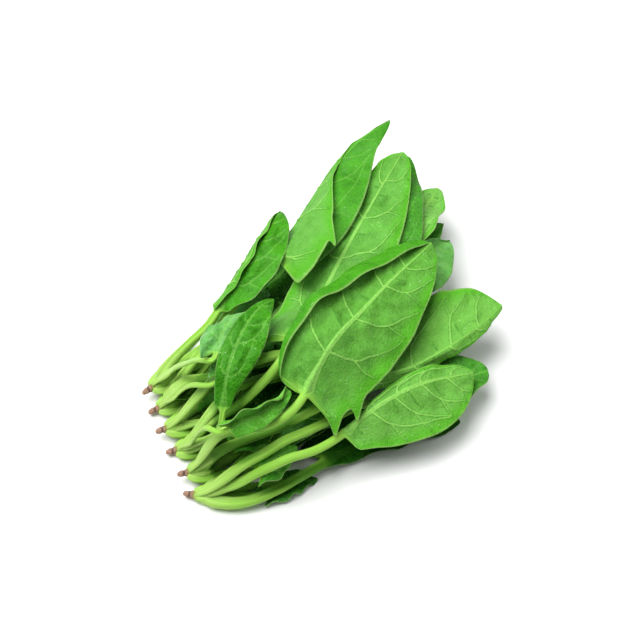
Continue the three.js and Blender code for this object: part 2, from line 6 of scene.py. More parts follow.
import bmesh
import bpy
import numpy as np
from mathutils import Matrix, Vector


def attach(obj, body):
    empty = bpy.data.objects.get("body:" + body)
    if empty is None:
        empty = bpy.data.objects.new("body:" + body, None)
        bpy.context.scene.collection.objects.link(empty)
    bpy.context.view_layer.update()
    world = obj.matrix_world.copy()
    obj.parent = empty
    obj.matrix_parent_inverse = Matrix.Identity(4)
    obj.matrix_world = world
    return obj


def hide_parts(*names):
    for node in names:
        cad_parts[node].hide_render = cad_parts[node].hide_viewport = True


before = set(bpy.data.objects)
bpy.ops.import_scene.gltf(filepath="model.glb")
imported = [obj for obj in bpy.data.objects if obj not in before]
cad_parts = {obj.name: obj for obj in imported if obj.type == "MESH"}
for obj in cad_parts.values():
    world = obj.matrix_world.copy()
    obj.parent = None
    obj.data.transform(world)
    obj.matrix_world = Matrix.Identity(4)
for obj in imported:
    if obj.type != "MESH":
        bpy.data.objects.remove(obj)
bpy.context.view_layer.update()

# ---- The six plants ----
# Whole young plants, pulled and laid side by side, so their crowns make a row. Each has the place of the
# root end of its crown, the way that the crown points, and the way that its leaves fan.

MM = 0.001
MIDDLE = np.array([-4.0, -21.4, 0.0])
CROWN_LENGTH = 13
PLANTS = [
    dict(place=(-98, 43, 9), heading=-12, fan=2),
    dict(place=(-103, 32, 4.2), heading=-24, fan=3),
    dict(place=(-110, 17, 8), heading=-32, fan=2),
    dict(place=(-114, 4, 4.2), heading=-36, fan=-2),
    dict(place=(-120, -13, 8), heading=-38, fan=-6),
    dict(place=(-126, -24, 4.2), heading=-58, fan=-10),
]
UP = np.array([0.0, 0.0, 1.0])


def direction(heading, climb=0.0):
    """The way of an angle on the table, and of an angle up from it."""
    level = math.cos(climb)
    return np.array([level * math.cos(heading), level * math.sin(heading), math.sin(climb)])


def crown_axis(plant):
    """The root end of a plant's crown, and the way that the crown points."""
    return np.array(plant["place"], float), direction(math.radians(plant["heading"]))


def unit(vectors):
    return vectors / np.linalg.norm(vectors, axis=-1, keepdims=True)


def lerp(a, b, t):
    return a + (b - a) * t


def smooth(t):
    t = np.clip(t, 0, 1)
    return t * t * (3 - 2 * t)


# ---- The leaves: their shapes ----
# A leaf is a juicy stalk, grooved on its upper side, and a thin blade folded along its midrib. It grows from
# its plant's crown, and its blade lies on those that were there before it.

# plant: its crown; foot and tip: the ends of the blade; bow, arch, hook: how the midrib bends aside, humps up
# and ends; swing, stout: how the stalk leaves its crown, and how thick it is; slim: how early the midrib
# thins; turned: its pale underside faces up; coarse, stations: its solid has few facets, or has them at
# places of its own; wave, waves, phase: the margin's long waves; tone: how yellow, dark and waxy its green
# is, where dark is partly painted shade on low leaves and waxy is partly painted sheen; pucker, frill,
# crumple: how far it domes between veins, ruffles at its edge, and is creased; rib, stem: how thick its
# midrib and stalk are beside the plain ones; fine: the size of the facets of its skin.
LEAF = dict(
    bow=0, arch=8, hook=0, swing=0, stout=1, slim=0.8, turned=False, coarse=False, wave=1.5, waves=3,
    phase=0, stations=None, tone=(0, 0, 0), pucker=0.8, frill=0.6, crumple=0.7, rib=0.42, stem=1, fine=0.8,
)
# wide: midrib to margin, at the place full; blunt: less is blunter; fold, curl, hem: how the half rises from
# the midrib, bends on, and turns at its edge, at the foot and at the tip; lobe, sweep: how far the base and
# the margin near the tip run back and ahead; hem_at: where across the half its edge begins to turn; teeth:
# pointed lobes, each with its place, its size, its length along the margin, and how far it points back.
HALF = dict(
    wide=20, full=0.36, blunt=0.8, fold=(8, 8), curl=(0, 0), hem=(0, 0), hem_at=(0.62, 0.62), lobe=8,
    sweep=0, teeth=(),
)

leaves = []


def leaf(name, left, right, **shape):
    leaves.append({**LEAF, **shape, "name": name, "left": {**HALF, **left}, "right": {**HALF, **right}})


# Two leaves of the last plant lie lowest of all: a small one, and a long dark one on a thick stalk.
leaf(
    "low_small", plant=6, foot=(-96, -54, 2), tip=(-68, -67, 1), bow=12, stout=0.8, wave=2,
    left=dict(wide=10, fold=(5, 10)), right=dict(wide=8, fold=(10, 20)), tone=(0, 0.5, 0.5),
)
leaf(
    "low_long", plant=6, foot=(-60, -64, 2), tip=(19, -99, 0), bow=16, arch=6, swing=-50, wave=2,
    stout=1.5, phase=120, left=dict(wide=22, fold=(10, 16), lobe=14),
    right=dict(wide=11, full=0.6, blunt=0.5, fold=(8, 14), lobe=6), tone=(0, 0.8, 0.1), stem=0.8,
)

# The bed: leaves low in the bunch, two to a plant, fanned to both sides of the way the plant leans. Their
# full dark tone is painted shade, as they lie under the leaves that show.
BED_STALK = (48, 66)
BED_BLADE = (72, 92)
BED_WIDE = (15, 21)
BED_TURN = 9  # degrees that a stalk strays from the way its plant leans, and a blade from its stalk
BED_SWAY = 12
DRAWS = 2**32
drawn = 7


def draw(low, high):
    """A number between low and high, and the same ones each run."""
    global drawn
    drawn = (drawn * 1664525 + 1013904223) % DRAWS
    return low + (high - low) * drawn / DRAWS


for row in (0, 1):
    for index, plant in enumerate(PLANTS):
        turn = math.radians(plant["fan"] + draw(-BED_TURN, BED_TURN) + (row - 1.5) * 5)
        stalk_long = draw(*BED_STALK)
        blade_long = draw(*BED_BLADE)
        x, y, _ = plant["place"]
        high = 1 + row * 4
        foot = (x + stalk_long * math.cos(turn), y + stalk_long * math.sin(turn), high)
        sway = turn + math.radians(draw(-BED_SWAY, BED_SWAY))
        tip = (foot[0] + blade_long * math.cos(sway), foot[1] + blade_long * math.sin(sway), high)
        leaf(
            f"bed_{row + 1}_{index + 1}", plant=index + 1, foot=foot, tip=tip, bow=draw(-10, 10),
            arch=draw(2, 10), turned=draw(0, 1) > 0.6, coarse=True, swing=14 if row else -20,
            wave=draw(1, 2.5), phase=draw(0, 360), tone=(0, 1, 0), fine=1.2,
            left=dict(wide=draw(*BED_WIDE), fold=(draw(-6, 22), draw(0, 25))),
            right=dict(wide=draw(*BED_WIDE), fold=(draw(-6, 22), draw(0, 25))),
        )

# Small young leaves on thin stalks fill the space between the crowns and the big blades.
leaf(
    "heart", plant=3, foot=(-91, 20, 6), tip=(-67, 5, 8), bow=4, arch=16, stout=0.55, wave=2.5, phase=180,
    left=dict(wide=8, blunt=0.5, fold=(50, 40), curl=(60, 40)),
    right=dict(wide=9, blunt=0.5, fold=(-20, 10), curl=(-20, 20)), tone=(0.3, 0, 0), crumple=2.0,
)
for shoot in (
    dict(plant=2, foot=(-58, 2, 16), tip=(-31, 6, 20), swing=16, stout=1.1),
    dict(plant=3, foot=(-89, -3, 12), tip=(-71, -10, 14), swing=14, stout=0.75),
    dict(plant=4, foot=(-92, -17, 12), tip=(-68, -15, 14), swing=4, stout=0.9),
    dict(plant=5, foot=(-93, -29, 12), tip=(-71, -39, 14), swing=12, stout=0.9),
    dict(plant=6, foot=(-96, -50, 12), tip=(-72, -55, 14), swing=10, stout=0.75),
):
    narrow = dict(wide=8)
    leaf(f"shoot_{shoot['plant']}", narrow, narrow, coarse=True, tone=(0.1, 0.1, 0), **shoot)

leaf(
    "young_small", plant=2, foot=(-38, 27, 22), tip=(-10, 32, 28), arch=14, stout=0.6, wave=2, phase=20,
    left=dict(wide=8, fold=(16, 20)), right=dict(wide=9, fold=(0, 10)), tone=(0, 0.1, 0.8), crumple=1.8,
    rib=0.5, pucker=1.2,
)

# The leaves that show, from the lowest to the highest.
leaf(
    "edge_dark", plant=6, foot=(-4, -70, 14), tip=(47, -94, 20), arch=8, wave=1,
    left=dict(wide=20, blunt=0.5, fold=(6, 10), curl=(0, 10)),
    right=dict(wide=18, blunt=0.5, fold=(6, 10), curl=(0, 10)), tone=(0, 0.4, 0.2),
)
leaf(
    "upright_back", plant=4, foot=(49, -12, 20), tip=(102, -7, 28), bow=8, arch=10, phase=140,
    left=dict(wide=14, fold=(10, 20)), right=dict(wide=14, fold=(10, 20)), tone=(0.3, 0, 0.3),
)
leaf(
    "upright_front", plant=4, foot=(33, -22, 26), tip=(92, -21, 34), bow=12, arch=10, phase=40,
    left=dict(wide=16, fold=(30, 50), curl=(20, 40)),
    right=dict(wide=20, full=0.6, blunt=0.5, fold=(-12, -20)), tone=(0.3, 0, 0.8),
)
leaf(
    "pale_tip", plant=3, foot=(47, -14, 24), tip=(118, 13, 30), arch=10, turned=True, wave=0.8, phase=200,
    left=dict(wide=14, full=0.55, blunt=0.45, fold=(0, -6)),
    right=dict(wide=14, full=0.6, blunt=0.4, fold=(-4, -10), hem=(0, 120)), tone=(0.6, 0, 0.2),
)
leaf(
    "far_edge", plant=3, foot=(22, -21, 36), tip=(115, 37, 44), arch=12, wave=1, phase=70,
    left=dict(wide=20, blunt=0.6, fold=(0, 0)), right=dict(wide=21, blunt=0.6, fold=(0, -12)),
    tone=(0, 0.3, 0.2), fine=1.0,
)
leaf(
    "long_right", plant=5, foot=(-44, -52, 28), tip=(79, -75, 34), hook=-14, arch=6, turned=True,
    wave=1, slim=0.35, left=dict(wide=32, full=0.6, blunt=0.3, fold=(8, 14), curl=(0, -10), sweep=14),
    right=dict(wide=9, blunt=0.5, fold=(-70, -60), lobe=0), tone=(0.3, 0, 0), crumple=1.2, rib=0.3,
    pucker=1.5, fine=0.6,
)
leaf(
    "blunt_front", plant=6, foot=(-50, -68, 26), tip=(35, -92, 28), bow=12, arch=12, turned=True,
    wave=0.8, left=dict(wide=9, full=0.75, blunt=0.5, fold=(4, 0), lobe=2),
    right=dict(wide=27, full=0.55, blunt=0.5, fold=(-12, -12), curl=(0, -16), lobe=2, sweep=6),
    tone=(0.25, 0, 0.05), crumple=1, pucker=1.5, fine=0.6,
)
leaf(
    "big_middle", plant=4, foot=(-42, -20, 40), tip=(108, 35, 56), bow=2, arch=10, turned=True, wave=1,
    phase=150,
    left=dict(
        wide=20, full=0.3, blunt=0.4, fold=(4, -6), curl=(-14, -8), lobe=12,
        teeth=(dict(at=0.1, out=5, long=0.05, back=5),),
    ),
    right=dict(wide=29, full=0.4, blunt=0.55, fold=(0, 4), curl=(-8, -8)),
    tone=(0, 0, 0.1), crumple=1.1, pucker=1.5, fine=0.6,
)
leaf(
    "hooked", plant=2, foot=(-1, 37, 40), tip=(122, 59, 54), bow=-4, arch=2, swing=8, wave=1,
    hook=30, phase=60,
    stations=(0.01, 0.05, 0.09, 0.13, 0.17, 0.21, 0.26, 0.36, 0.5, 0.64, 0.77, 0.88, 0.95, 1),
    left=dict(
        wide=34, full=0.1, blunt=2.2, fold=(170, 160), lobe=6,
        teeth=(dict(at=0.05, out=2, long=0.035, back=12), dict(at=0.19, out=8, long=0.03, back=9)),
    ),
    right=dict(wide=30, full=0.3, blunt=0.7, fold=(-14, 0), lobe=10), tone=(0, 0, 0.1), fine=0.68,
)
leaf(
    "folded_back", plant=1, foot=(-50, 34, 34), tip=(23, 55, 46), arch=4, swing=34, wave=1.2,
    waves=4, phase=10, left=dict(wide=8, blunt=0.5, fold=(150, 150), lobe=4),
    right=dict(wide=19, full=0.52, blunt=0.6, fold=(4, -6), curl=(-10, -20), hem=(40, 0), lobe=0),
    tone=(0, 0.1, 0), pucker=1.6, crumple=1.2, fine=0.6,
)
leaf(
    "young_dark", plant=2, foot=(-81, -4, 16), tip=(-56, 2, 22), arch=18, stout=0.6, wave=2, phase=130,
    left=dict(wide=8, blunt=0.5, fold=(10, 14)),
    right=dict(wide=9, blunt=0.5, fold=(0, -4), curl=(-10, -10)), tone=(0, 0.3, 0.5), crumple=1.8,
)
leaf(
    "young_blue", plant=1, foot=(-78, 2, 22), tip=(-38, 18, 32), bow=12, arch=12, swing=24, stout=0.7,
    wave=2.5, phase=300, left=dict(wide=11, blunt=0.5, fold=(8, 14), curl=(10, 10)),
    right=dict(wide=13, blunt=0.5, fold=(0, -4), curl=(-10, 0)), tone=(0, 0.1, 1), crumple=2.2,
)
leaf(
    "puckered", plant=4, foot=(-95, -20, 22), tip=(-28, 8, 36), bow=14, arch=12, stout=0.7, wave=0.8,
    phase=90, left=dict(wide=7, fold=(10, 12), lobe=0),
    right=dict(wide=14, full=0.5, blunt=0.9, fold=(-6, 6), curl=(-20, 0), lobe=0), tone=(0, 0.4, 0),
    pucker=2.4, crumple=1, rib=0.3,
)
leaf(
    "big_front", plant=5, foot=(-58, -46, 40), tip=(69, -25, 58), bow=6, arch=12, turned=True, wave=1.2,
    waves=4, phase=30,
    stations=(0.01, 0.035, 0.06, 0.09, 0.12, 0.16, 0.2, 0.26, 0.36, 0.5, 0.64, 0.76, 0.87, 0.95, 1),
    left=dict(wide=36, full=0.45, blunt=0.45, fold=(-2, 4), hem=(150, 176), hem_at=(0.66, 0.4)),
    right=dict(
        wide=30, full=0.42, blunt=0.5, fold=(-10, -8), curl=(-14, -10),
        teeth=(dict(at=0.06, out=4, long=0.016, back=8), dict(at=0.16, out=5, long=0.022, back=9)),
    ),
    crumple=1.1, frill=0.1, pucker=1.6, fine=0.6,
)
leaf(
    "young_bright", plant=4, foot=(-102, -33, 24), tip=(-62, -40, 32), bow=-14, arch=16, stout=0.6,
    phase=250, left=dict(wide=11, blunt=0.5, fold=(60, 90), curl=(60, 50)),
    right=dict(wide=7, blunt=0.5, fold=(-10, -10), lobe=0), tone=(0.2, 0.1, 0), crumple=1.2,
)


# ---- The leaves: how a leaf grows ----
# The stalk and the midrib are one smooth line. Both halves of the blade spring from it, and every place on
# the blade is found from its share of the way along the line and out from it.

STALK_RADIUS = 3.1
FOOT_RADIUS = 2.4
TIP_RADIUS = 0.5
STALK_START = 0.35  # how far along the crown a stalk begins, and how far beside its middle
STALK_ASIDE = 5
STALK_EASE = 0.38  # how much of its length a stalk, and a blade, keeps the way it has at its ends
BLADE_EASE = 0.36
LOBE_LONG = 0.42  # how much of a blade's length its base lobes take
RIB_WIDE = 1.3
RIB_PROUD = 0.55
SIDES_APART = 50  # degrees that each margin's waves are shifted
FOLD_ROUND = 3.0  # a fold along the midrib is this far round
HEM_ROUND = 0.3  # and a hem this share of the width
FREE_BY = 0.05  # how far along the blade the round stalk has gone flat
STEPS = 12


class Bend:
    """A cubic curve through the air."""

    def __init__(self, *points):
        self.points = np.array(points, float)

    def at(self, t):
        t = np.asarray(t, float)[:, None]
        a, b, c, d = self.points
        return (1 - t) ** 3 * a + 3 * (1 - t) ** 2 * t * b + 3 * (1 - t) * t * t * c + t**3 * d

    def way(self, t):
        t = np.asarray(t, float)
        return unit(self.at(np.clip(t + 1e-4, 0, 1)) - self.at(np.clip(t - 1e-4, 0, 1)))

    def length(self):
        return float(np.linalg.norm(np.diff(self.at(np.linspace(0, 1, 201)), axis=0), axis=1).sum())


def line_of(shape):
    """The stalk and the midrib of a leaf."""
    plant = PLANTS[shape["plant"] - 1]
    foot, tip = np.array(shape["foot"], float), np.array(shape["tip"], float)
    chord = tip - foot
    heading = math.atan2(chord[1], chord[0])
    climb = math.atan2(chord[2], math.hypot(chord[0], chord[1]))
    bow, arch, hook = (math.radians(shape[bend]) for bend in ("bow", "arch", "hook"))
    foot_way = direction(heading + bow, climb + arch)
    tip_way = direction(heading - bow - hook, climb - arch)
    crown, axis = crown_axis(plant)
    leave = direction(math.radians(plant["heading"] + shape["swing"]))
    aim = unit(foot - crown)
    side = aim - axis * (aim @ axis)
    start = crown + axis * CROWN_LENGTH * STALK_START + side * STALK_ASIDE
    reach = np.linalg.norm(foot - start) * STALK_EASE
    out = unit(lerp(leave, aim, 0.3))
    stalk = Bend(start, start + out * reach, foot - foot_way * reach, foot)
    length = np.linalg.norm(chord) * BLADE_EASE
    return stalk, Bend(foot, foot + foot_way * length, tip - tip_way * length, tip)


def tooth_at(q, tooth):
    """How much of a tooth there is, q of the way along the blade."""
    return np.exp(-(((q - tooth["at"]) / tooth["long"]) ** 2))


def spread(half, q):
    """How wide a half is, q of the way from the foot of the blade to its tip."""
    body = np.sin(np.pi * q ** (math.log(0.5) / math.log(half["full"])))
    width = half["wide"] * np.clip(body, 0, 1) ** half["blunt"]
    for tooth in half["teeth"]:
        width = width + tooth["out"] * tooth_at(q, tooth)
    return width


def across(half, q, width, share, ease):
    """Out from the midrib, up from it, and the way that the blade faces, at a share of the width."""
    fold, curl, hem, hem_at = (lerp(*half[bend], q) for bend in ("fold", "curl", "hem", "hem_at"))

    def lean(s):
        begun = smooth(s * width / FOLD_ROUND) if ease else 1
        return np.radians(fold * begun + curl * s + hem * smooth((s - hem_at) / HEM_ROUND))

    out = up = np.zeros(np.broadcast(q, share).shape)
    for step in range(STEPS):
        angle = lean(share * (step + 0.5) / STEPS)
        out = out + np.cos(angle) * width * share / STEPS
        up = up + np.sin(angle) * width * share / STEPS
    return out, up, lean(share) + 0 * out


def half_blade(shape, side, q, radius, share, ease):
    """The lines of one half: where each runs beside and above the midrib, and which way the blade faces."""
    half = shape[side]
    hand = 1 if side == "left" else -1
    width = spread(half, q)
    out, up, angle = across(half, q, width, share, ease)
    turns = np.radians(shape["phase"] + hand * SIDES_APART + q * 360 * shape["waves"])
    ripple = shape["wave"] * share**2 * np.sin(turns)
    lobe = half["lobe"] * np.maximum(0, 1 - q / LOBE_LONG) ** 2
    ahead = half["sweep"] * np.sin(np.pi * q) * q
    backs = sum(tooth["back"] * tooth_at(q, tooth) for tooth in half["teeth"])
    return dict(
        out=hand * (out + radius * RIB_WIDE - ripple * np.sin(angle)),
        rise=up + ripple * np.cos(angle),
        back=share**2 * (lobe - ahead) + share**3 * backs,
        aside=-hand * np.sin(angle),
        facing=np.cos(angle),
        wide=share * width,
    )


def blade_lines(shape, q, radius, left_share, ribs, right_share, ease=False):
    """All lines of a blade from its left margin to its right one. ribs: places on the midrib, 1 to -1."""
    left = half_blade(shape, "left", q, radius, left_share[::-1], ease)
    right = half_blade(shape, "right", q, radius, right_share, ease)
    flat = np.zeros((len(q), len(ribs)))
    middle = dict(out=ribs * radius * RIB_WIDE, rise=flat, back=flat, aside=flat, facing=flat + 1, wide=flat)
    return {key: np.concatenate([left[key] + 0 * q, middle[key], right[key] + 0 * q], axis=1) for key in left}


def around(count):
    """Where the lines of a leaf lie on its round stalk, from the left side over to the right one."""
    return np.pi * (np.arange(count) + 0.25) / (count - 0.5)


def skin(shape, centre, way, flat, radius, lines, groove, keel, thick, raised=None, broad=1):
    """Both faces of a leaf: a round grooved stalk where flat is 0, and a thin blade with a rib at 1."""
    left = unit(np.cross(UP, way))
    up = np.cross(way, left)
    turn = around(lines["out"].shape[1])
    groove_face = -1 if shape["turned"] else 1
    faces = []
    for face in (1, -1):
        round_out = np.cos(turn) * radius * broad
        round_rise = face * np.sin(turn) * radius * (1 - groove if face == groove_face else 1)
        lift = face * thick / 2 if raised is None else face * thick / 2 + raised[face]
        out = lines["out"] + lines["aside"] * lift
        rise = lines["rise"] + groove_face * radius * RIB_PROUD + lines["facing"] * lift
        if face != groove_face:
            rise = lerp(rise, -groove_face * radius, keel)
        out = lerp(round_out, out, flat)
        rise = lerp(round_rise, rise, flat)
        point = centre[:, None] + left[:, None] * out[..., None] + up[:, None] * rise[..., None]
        faces.append(point - way[:, None] * (lines["back"] * flat)[..., None])
    return faces


# ---- The leaves: how the bunch is laid down ----
# The leaves are laid one after another, each on the heap of those that lie there already. A blade is lifted
# gently over it. A stalk is stiff, and runs straight from its crown to the first thing that it lies on, and
# on to the next. It is done with the plain leaf of the solid, and the fine one is lifted by as much.

PLAIN_THICK = 0.8
PLAIN_GROOVE = 0.45
STALK_STATIONS = (0, 0.2, 0.4, 0.6, 0.8, 0.93)
BLADE_STATIONS = (0.01, 0.06, 0.14, 0.25, 0.37, 0.5, 0.63, 0.76, 0.87, 0.95, 1)
COARSE_STALK = (0, 0.2, 0.6, 0.8, 0.93)
COARSE_BLADE = (0.01, 0.08, 0.2, 0.36, 0.54, 0.72, 0.88, 1)
LAY_GAP = 0.6
TABLE_BITE = 0.2
SQUARE = 1.5  # the heap is a height for each small square of the table, from its corner on
CORNER = np.array([-165.0, -135.0])
SQUARES = np.array([220, 170])
BEND_OUT = 9  # in squares: how far a lift reaches level, and then fades
FADE = (5, 4)
HELD = 6  # the crown holds a stalk this far
LOOSE = 17  # past this a stalk lies on the stalks of other plants
APART = 48  # and past this on those of its own plant
FEELER = 1.2
BESIDE = 14

heap = np.full(SQUARES[::-1], -TABLE_BITE - LAY_GAP)
near_crowns = [heap.copy() for _ in PLANTS]


def square_at(points):
    """The row and the column of the heap at each point."""
    column, row = np.clip(np.floor((points[:, :2] - CORNER) / SQUARE), 0, SQUARES - 1).astype(int).T
    return row, column


def height_at(field, points):
    """The height of a field at each point, evenly between the middles of its squares."""
    place = np.clip((points[..., :2] - CORNER) / SQUARE - 0.5, 0, SQUARES - 1.001)
    column, row = np.moveaxis(np.floor(place).astype(int), -1, 0)
    over, down = np.moveaxis(place % 1, -1, 0)
    near = lerp(field[row, column], field[row, column + 1], over)
    return lerp(near, lerp(field[row + 1, column], field[row + 1, column + 1], over), down)


def nearby(field, reach, pick):
    """The highest, or the mean, of the squares near each one."""
    for axis in (1, 0):
        pad = [(0, 0), (0, 0)]
        pad[axis] = (reach, reach)
        padded = np.pad(field, pad, constant_values=np.nan)
        field = pick(np.lib.stride_tricks.sliding_window_view(padded, 2 * reach + 1, axis=axis), axis=-1)
    return field


def feel(top, base, far):
    """Many places on both faces of a leaf, beyond where the crown holds it, and how far along each is."""
    found = []
    s = (np.arange(BESIDE + 1) / BESIDE)[:, None]
    for face in (top, base):
        face = np.dstack([face, np.broadcast_to(far[:, None], face.shape[:2])])
        for row in range(len(far) - 1):
            if far[row + 1] < LOOSE:
                continue
            steps = math.ceil((far[row + 1] - far[row]) / FEELER)
            t = (np.arange(steps + 1) / steps)[:, None, None, None]
            here, there = (lerp(line[:-1, None], line[1:, None], s) for line in face[row : row + 2])
            found.append(lerp(here, there, t).reshape(-1, 4))
    return np.concatenate(found)


def stalk_lifts(spine, far, free, need, lift):
    """How far the stalk rises at each of its sections: a string pulled tight over what is under it."""
    lifts = height_at(lift, spine)
    foot = int(np.argmax(free[:, 0] > 0)) + 1
    probes = [(0.0, 0.0, None, 0.0), (far[foot], lifts[foot], None, 0.0)]
    for row in range(foot):
        for step in range(STEPS):
            share = step / STEPS
            place = lerp(spine[row], spine[row + 1], share)
            along = lerp(far[row], far[row + 1], share)
            if along > HELD:
                probes.append((along, float(height_at(need, place)), row, share))

    def taut(at):
        height = 0.0
        for before in probes:
            for after in probes:
                if before[0] > at or after[0] < at or after[0] == before[0]:
                    continue
                share = (at - before[0]) / (after[0] - before[0])
                height = max(height, lerp(before[1], after[1], share))
        return height

    for row in range(foot):
        lifts[row] = taut(far[row]) if far[row] > HELD else 0
    for _, least, row, share in probes:
        if row is None:
            continue
        short = least - lerp(lifts[row], lifts[row + 1], share)
        if short <= 0:
            continue
        if far[row] > HELD:
            lifts[row] += short
        lifts[row + 1] += short
    return lifts, foot


def shares_of(shape, side):
    """Where the plain leaf has its lines, from the midrib to the margin."""
    if shape["coarse"]:
        return np.array([0, 1.0])
    return np.array([0, 0.36, 0.66, 0.82, 1.0] if any(shape[side]["hem"]) else [0, 0.5, 1.0])


def plain_leaf(shape):
    """A leaf as its solid has it, before it is laid: both faces, and how far and how flat each section is."""
    stalk, blade = line_of(shape)
    t = np.array(COARSE_STALK if shape["coarse"] else STALK_STATIONS)
    q = np.array(shape["stations"] or (COARSE_BLADE if shape["coarse"] else BLADE_STATIONS))
    centre = np.concatenate([stalk.at(t), blade.at(q)])
    way = np.concatenate([stalk.way(t), blade.way(q)])
    far = np.concatenate([t * stalk.length(), stalk.length() + q * blade.length()])
    stalk_radius = lerp(STALK_RADIUS, FOOT_RADIUS, t)
    blade_radius = lerp(FOOT_RADIUS, TIP_RADIUS, q ** shape["slim"])
    radius = shape["stout"] * np.concatenate([stalk_radius, blade_radius])[:, None]
    share = np.concatenate([0 * t, q])[:, None]
    free = smooth(share / FREE_BY)
    left, right = shares_of(shape, "left"), shares_of(shape, "right")
    lines = blade_lines(shape, share, radius, left, np.zeros(1), right)
    keel = np.zeros(len(left) + 1 + len(right))
    keel[len(left)] = 1
    top, base = skin(shape, centre, way, free, radius, lines, PLAIN_GROOVE * keel, keel, PLAIN_THICK)
    return top, base, far, free, len(left)


def raise_leaf(top, base, lift, spine, lifts, free):
    """Raises both faces: the stalk and the midrib by the lifts, and the free blade as the heap has it."""
    own = height_at(lift, (top + base) / 2)
    rise = lifts[:, None] + free * (own - height_at(lift, spine)[:, None])
    top[..., 2] += rise
    base[..., 2] += rise


def lay(shape):
    """Lays a leaf on the heap, and gives what a finer leaf needs to lie the same way."""
    top, base, far, free, middle = plain_leaf(shape)
    points = feel(top, base, far)
    low = np.full(heap.shape, np.inf)
    np.minimum.at(low, square_at(points), points[:, 2])
    below = heap.copy()
    for index, stalks in enumerate(near_crowns):
        if index + 1 != shape["plant"]:
            below = np.maximum(below, stalks)
    need = np.maximum(0, nearby(below, 1, np.nanmax) + LAY_GAP - low)
    lift = nearby(need, BEND_OUT, np.nanmax)
    for reach in FADE:
        lift = nearby(lift, reach, np.nanmean)
    spine = (top[:, middle] + base[:, middle]) / 2
    lifts, foot = stalk_lifts(spine, far, free, nearby(need, 2, np.nanmax), lift)
    raise_leaf(top, base, lift, spine, lifts, free)
    points = feel(top, base, far)
    stalky = points[:, 3] < APART
    for field, part in ((near_crowns[shape["plant"] - 1], points[stalky]), (heap, points[~stalky])):
        np.maximum.at(field, square_at(part), part[:, 2])
    return dict(lift=lift, far=far[: foot + 1], lifts=lifts[: foot + 1])


# ---- The leaves: veins ----
# Side veins leave the midrib steeply, bend towards the tip and fork before the margin. They stand out on the
# underside and lie in grooves on the upper side, where the blade domes up between them.

VEIN_STARTS = (0.02, 0.22, 0.44, 0.65, 0.83)
VEIN_STEP = 1.5
VEIN_REACH = 0.86  # how far out a vein runs
VEIN_SWAY = 5  # degrees that it strays at each step
TWIG_STRENGTH = 0.28
VEIN_HALF = 0.6  # half of a strong vein's width
DOME = 4.5  # how far from a vein a dome reaches its height
WAVES = 7
WAVES_HIGH = 3.2


def vein_paths(half, length, random):
    """The veins of one half as short pieces: both ends, along the blade and out, and how strong each is."""
    pieces = []

    def grow(along, out, heading, end, strength, fork=0, reach=VEIN_REACH):
        sway = 0
        while True:
            room = float(spread(half, np.clip(along / length, 0.04, 0.99)))
            if room < 2 or out > reach * room or along > 0.97 * length:
                return
            done = out / room
            sway = 0.8 * sway + random.normal(0, VEIN_SWAY)
            way = math.radians(lerp(heading, end, float(smooth(done / 0.75))) + sway)
            near = (along, out)
            along += VEIN_STEP * math.cos(way)
            out += VEIN_STEP * math.sin(way)
            force = strength * (1 - 0.6 * done)
            pieces.append((*near, along, out, force))
            if fork and done > fork:
                fork = 0
                grow(along, out, heading + 25, end=80, strength=strength * 0.95)

    for start in VEIN_STARTS:
        at = (start + random.uniform(-0.025, 0.025)) * length
        in_lobe = start < 0.1
        heading = 98 if in_lobe else random.uniform(64, 78) - 8 * start
        end = 70 if in_lobe else random.uniform(2, 16)
        grow(at, 0.0, heading, end, strength=1.0 - 0.35 * start, fork=random.uniform(0.34, 0.5))
        twig = at + random.uniform(0.06, 0.16) * length
        heading = random.uniform(60, 100)
        grow(twig, 0.0, heading, 30, TWIG_STRENGTH, reach=random.uniform(0.12, 0.34))
    return np.array(pieces)


def vein_field(pieces, along, out):
    """How strong the veins are at each place, and how far the nearest one is."""
    start, end, force = pieces[:, 0:2], pieces[:, 2:4], pieces[:, 4]
    run = end - start
    square = (run**2).sum(axis=1)
    strength = np.zeros(along.shape)
    distance = np.full(along.shape, 99.0)
    for row in range(along.shape[0]):
        place = np.stack([along[row], out[row]], axis=-1)[:, None]
        t = np.clip(((place - start) * run).sum(axis=-1) / square, 0, 1)
        gap = np.linalg.norm(place - start - run * t[..., None], axis=-1)
        strength[row] = (force * np.exp(-((gap / VEIN_HALF) ** 2))).max(axis=1)
        distance[row] = (gap / (0.5 + 0.5 * force)).min(axis=1)
    return strength, distance


def crumples(along, out, size, random):
    """Uneven ground between about 1 and -1, with lumps of a size: waves that run all ways."""
    ground = np.zeros(along.shape)
    for _ in range(WAVES):
        way = random.uniform(0, 2 * np.pi)
        pace = 2 * np.pi / (size * random.uniform(0.7, 1.6))
        shift = random.uniform(0, 2 * np.pi)
        ground += np.sin((along * math.cos(way) + out * math.sin(way)) * pace + shift)
    return ground / WAVES_HIGH


# ---- The leaves: the fine skin ----
# One closed skin from the crown to the tip, with rows along the leaf and columns round it. It starts as a
# sheath on the root end of the crown, and its stalk comes out of it.

BLADE_THICK = 0.45
ROUGHLY = 1
STALK_FINE = 2.5  # the length of a stalk's facets
NUB = 1.2  # how far up the crown a sheath starts, and how thick it is there
NUB_RADIUS = 1.3
SHEATH_T = 0.16  # how far along the stalk its sheath ends
SHEATH_ROWS = 9
SHEATH_EASE = 0.35
SHEATH_BROAD = 0.4  # how much broader than thick a stalk is at the crown
SHEATH_FADE = 15
RIB_LINES = 7
RIB_FULL = 0.15  # how far along the blade its midrib comes to its own thickness
GROOVE_DEEP = 0.38
GROOVE_WIDE = 0.42
MIDRIB_HALF = (0.18, 0.24)  # half the width of its pale line: the least, and how it grows with the rib
VEIN_PROUD = 0.6  # how far a strong vein stands out on the underside, and sinks on the upper side
VEIN_SUNK = 0.25
RUFFLE_LONG = 11
CREASE_LONG = 16
CREASE_FREE = 6  # a crease has its full height this far from the midrib
HEM_EVEN = 0.85  # how much evener a half is near its margin where it has a hem, and where it has none
